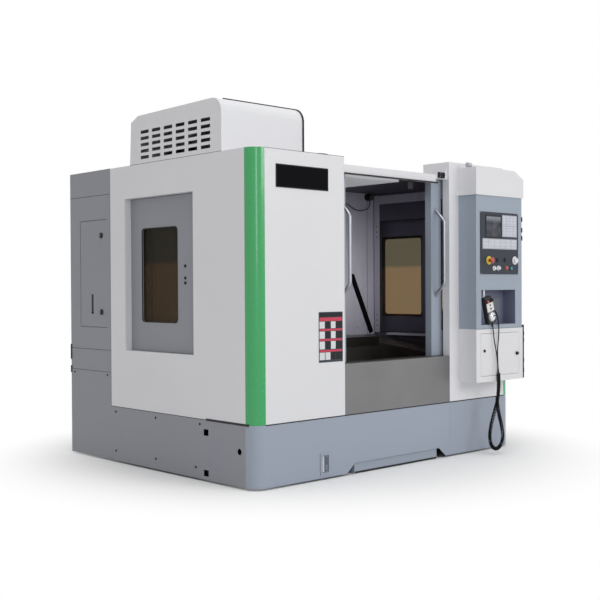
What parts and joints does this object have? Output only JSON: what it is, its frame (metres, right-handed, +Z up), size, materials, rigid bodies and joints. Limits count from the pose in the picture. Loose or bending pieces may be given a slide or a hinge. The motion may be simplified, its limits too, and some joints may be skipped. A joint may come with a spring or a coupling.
{
  "type": "cnc machining center",
  "caption": "Enclosed vertical machining center with sliding front doors, hinged side doors, louvred tool magazine hood, control box and a handwheel pendant on a curly cord.",
  "frame": {"origin": "middle of the machine's footprint box on the floor, under the feet", "axes": "+X to the right as seen from the operator at the front, +Y from the front to the back, +Z up"},
  "size_m": [2.57, 2.29, 2.396],
  "materials": {
    "white_paint": "semi-gloss powder coat",
    "base_blue_grey": "semi-gloss powder coat",
    "green_paint": "gloss paint",
    "door_paint": "semi-gloss powder coat",
    "box_grey": "satin powder coat",
    "apron_steel": "brushed",
    "liner_steel": "brushed, oily",
    "cover_steel": "ground",
    "casting": "painted casting with ground ways",
    "tank_steel": "satin paint",
    "tinted_glass": "tinted safety glass",
    "screen_glass": "screen",
    "panel_dark": "matte membrane",
    "handle_steel": "polished tube",
    "black_plastic": "matte",
    "red_plastic": "gloss",
    "blue_plastic": "gloss",
    "white_plastic": "gloss",
    "pendant_plastic": "matte",
    "wheel_metal": "turned",
    "cord_rubber": "matte jacket",
    "foot_steel": "blackened",
    "spindle_steel": "ground and hardened",
    "lock_metal": "plated",
    "lamp_metal": "anodised"
  },
  "bodies": {
    "machine": {"base_skirt": "base_blue_grey", "bed_casting": "casting", "levelling_feet": "foot_steel", "column_casting": "casting", "coolant_tank": "tank_steel", "side_panel_left": "white_paint", "side_panel_right": "white_paint", "rear_cabinet": "base_blue_grey", "roof_panel": "white_paint", "magazine_hood": "white_paint", "front_panel_left": "white_paint", "front_panel_right": "white_paint", "corner_posts": "green_paint", "header_beam": "white_paint", "steel_apron": "apron_steel", "control_box": "box_grey", "lower_box": "white_paint", "lower_box_door": "white_paint", "operator_panel": "panel_dark", "screen": "screen_glass", "pendant_body": "pendant_plastic", "cord_leads": "cord_rubber", "cord_coil": "cord_rubber", "cord_glands": "cord_rubber", "chamber_walls": "liner_steel", "chamber_floor": "liner_steel", "work_lamp": "lamp_metal", "lamp_cord": "cord_rubber"},
    "front_door_left": {"front_door_left": "door_paint", "front_window_left": "tinted_glass", "front_handle_left": "handle_steel"},
    "side_door_left": {"side_door_left": "door_paint", "side_window_left": "tinted_glass"},
    "front_door_right": {"front_door_right": "door_paint", "front_window_right": "tinted_glass", "front_handle_right": "handle_steel"},
    "side_door_right": {"side_door_right": "door_paint", "side_window_right": "tinted_glass"},
    "cabinet_door": {"cabinet_door": "base_blue_grey"},
    "cabinet_handle": {"cabinet_handle": "lock_metal"},
    "lower_box_lock": {"lower_box_lock": "lock_metal"},
    "saddle": {"saddle": "casting"},
    "table": {"table": "casting"},
    "spindle_head": {"spindle_head": "casting"},
    "spindle": {"spindle": "spindle_steel"},
    "magazine_drum": {"magazine_drum": "spindle_steel"},
    "y_cover": {"y_cover": "cover_steel"},
    "z_cover": {"z_cover": "cover_steel"},
    "estop_button": {"estop_button": "red_plastic"},
    "start_button": {"start_button": "black_plastic"},
    "hold_button": {"hold_button": "black_plastic"},
    "feed_knob": {"feed_knob": "white_plastic"},
    "mode_knob": {"mode_knob": "white_plastic"},
    "rapid_knob": {"rapid_knob": "white_plastic"},
    "red_button": {"red_button": "red_plastic"},
    "blue_button": {"blue_button": "blue_plastic"},
    "pendant_stop": {"pendant_stop": "red_plastic"},
    "pendant_selector": {"pendant_selector": "black_plastic"},
    "pendant_handwheel": {"pendant_handwheel": "wheel_metal"}
  },
  "joints": [
    {"name": "front_door_left_slide", "type": "slide", "parent": "machine", "child": "front_door_left", "axis": [1, 0, 0], "range_m": [0, 0.435]},
    {"name": "front_door_right_slide", "type": "slide", "parent": "machine", "child": "front_door_right", "axis": [-1, 0, 0], "range_m": [0, 0.435]},
    {"name": "side_door_left_hinge", "type": "hinge", "parent": "machine", "child": "side_door_left", "pos_m": [-1.23, 0.415, 0.79], "axis": [0, 0, -1], "range_deg": [0, 90]},
    {"name": "side_door_right_hinge", "type": "hinge", "parent": "machine", "child": "side_door_right", "pos_m": [1.23, 0.415, 0.79], "axis": [0, 0, 1], "range_deg": [0, 90]},
    {"name": "cabinet_door_hinge", "type": "hinge", "parent": "machine", "child": "cabinet_door", "pos_m": [-1.278, 1.002, 0.94], "axis": [0, 0, -1], "range_deg": [0, 100]},
    {"name": "cabinet_handle_lift", "type": "hinge", "parent": "cabinet_door", "child": "cabinet_handle", "pos_m": [-1.278, 0.849, 1.168], "axis": [0, 1, 0], "range_deg": [0, 45]},
    {"name": "lower_box_lock_turn", "type": "hinge", "parent": "machine", "child": "lower_box_lock", "pos_m": [1.145, -1.101, 0.721], "axis": [0, -1, 0], "range_deg": [0, 90]},
    {"name": "estop_push", "type": "slide", "parent": "machine", "child": "estop_button", "axis": [0, 1, 0], "range_m": [0, 0.006]},
    {"name": "start_button_push", "type": "slide", "parent": "machine", "child": "start_button", "axis": [0, 1, 0], "range_m": [0, 0.004], "stiffness_N_per_m": 600},
    {"name": "hold_button_push", "type": "slide", "parent": "machine", "child": "hold_button", "axis": [0, 1, 0], "range_m": [0, 0.004], "stiffness_N_per_m": 600},
    {"name": "red_button_push", "type": "slide", "parent": "machine", "child": "red_button", "axis": [0, 1, 0], "range_m": [0, 0.004], "stiffness_N_per_m": 600},
    {"name": "blue_button_push", "type": "slide", "parent": "machine", "child": "blue_button", "axis": [0, 1, 0], "range_m": [0, 0.004], "stiffness_N_per_m": 600},
    {"name": "feed_knob_turn", "type": "hinge", "parent": "machine", "child": "feed_knob", "pos_m": [1.122, -1.105, 1.409], "axis": [0, -1, 0], "range_deg": [-140, 140]},
    {"name": "mode_knob_turn", "type": "hinge", "parent": "machine", "child": "mode_knob", "pos_m": [0.866, -1.105, 1.349], "axis": [0, -1, 0], "range_deg": [-60, 60]},
    {"name": "rapid_knob_turn", "type": "hinge", "parent": "machine", "child": "rapid_knob", "pos_m": [0.919, -1.105, 1.352], "axis": [0, -1, 0], "range_deg": [-60, 60]},
    {"name": "pendant_handwheel_spin", "type": "hinge", "parent": "machine", "child": "pendant_handwheel", "pos_m": [0.81605, -1.121, 1.00101], "axis": [0, -1, 0], "continuous": true},
    {"name": "pendant_stop_push", "type": "slide", "parent": "machine", "child": "pendant_stop", "axis": [0, 1, 0], "range_m": [0, 0.003]},
    {"name": "pendant_selector_turn", "type": "hinge", "parent": "machine", "child": "pendant_selector", "pos_m": [0.80921, -1.121, 1.11927], "axis": [0, -1, 0], "range_deg": [-60, 60]},
    {"name": "saddle_slide", "type": "slide", "parent": "machine", "child": "saddle", "axis": [0, 1, 0], "range_m": [-0.2, 0.2]},
    {"name": "table_slide", "type": "slide", "parent": "saddle", "child": "table", "axis": [1, 0, 0], "range_m": [-0.325, 0.325]},
    {"name": "spindle_head_slide", "type": "slide", "parent": "machine", "child": "spindle_head", "axis": [0, 0, 1], "range_m": [-0.4, 0.1]},
    {"name": "spindle_spin", "type": "hinge", "parent": "spindle_head", "child": "spindle", "pos_m": [0, -0.155, 1.33], "axis": [0, 0, 1], "continuous": true},
    {"name": "magazine_drum_turn", "type": "hinge", "parent": "machine", "child": "magazine_drum", "pos_m": [-0.88, 0.165, 1.95], "axis": [0, -1, 0], "continuous": true},
    {"name": "y_cover_slide", "type": "slide", "parent": "machine", "child": "y_cover", "axis": [0, 1, 0], "range_m": [-0.1, 0.1]},
    {"name": "z_cover_slide", "type": "slide", "parent": "machine", "child": "z_cover", "axis": [0, 0, 1], "range_m": [-0.2, 0.05]}
  ],
  "couplings": [
    {"joint": "y_cover_slide", "follows": "saddle_slide", "ratio": 0.5},
    {"joint": "z_cover_slide", "follows": "spindle_head_slide", "ratio": 0.5}
  ]
}
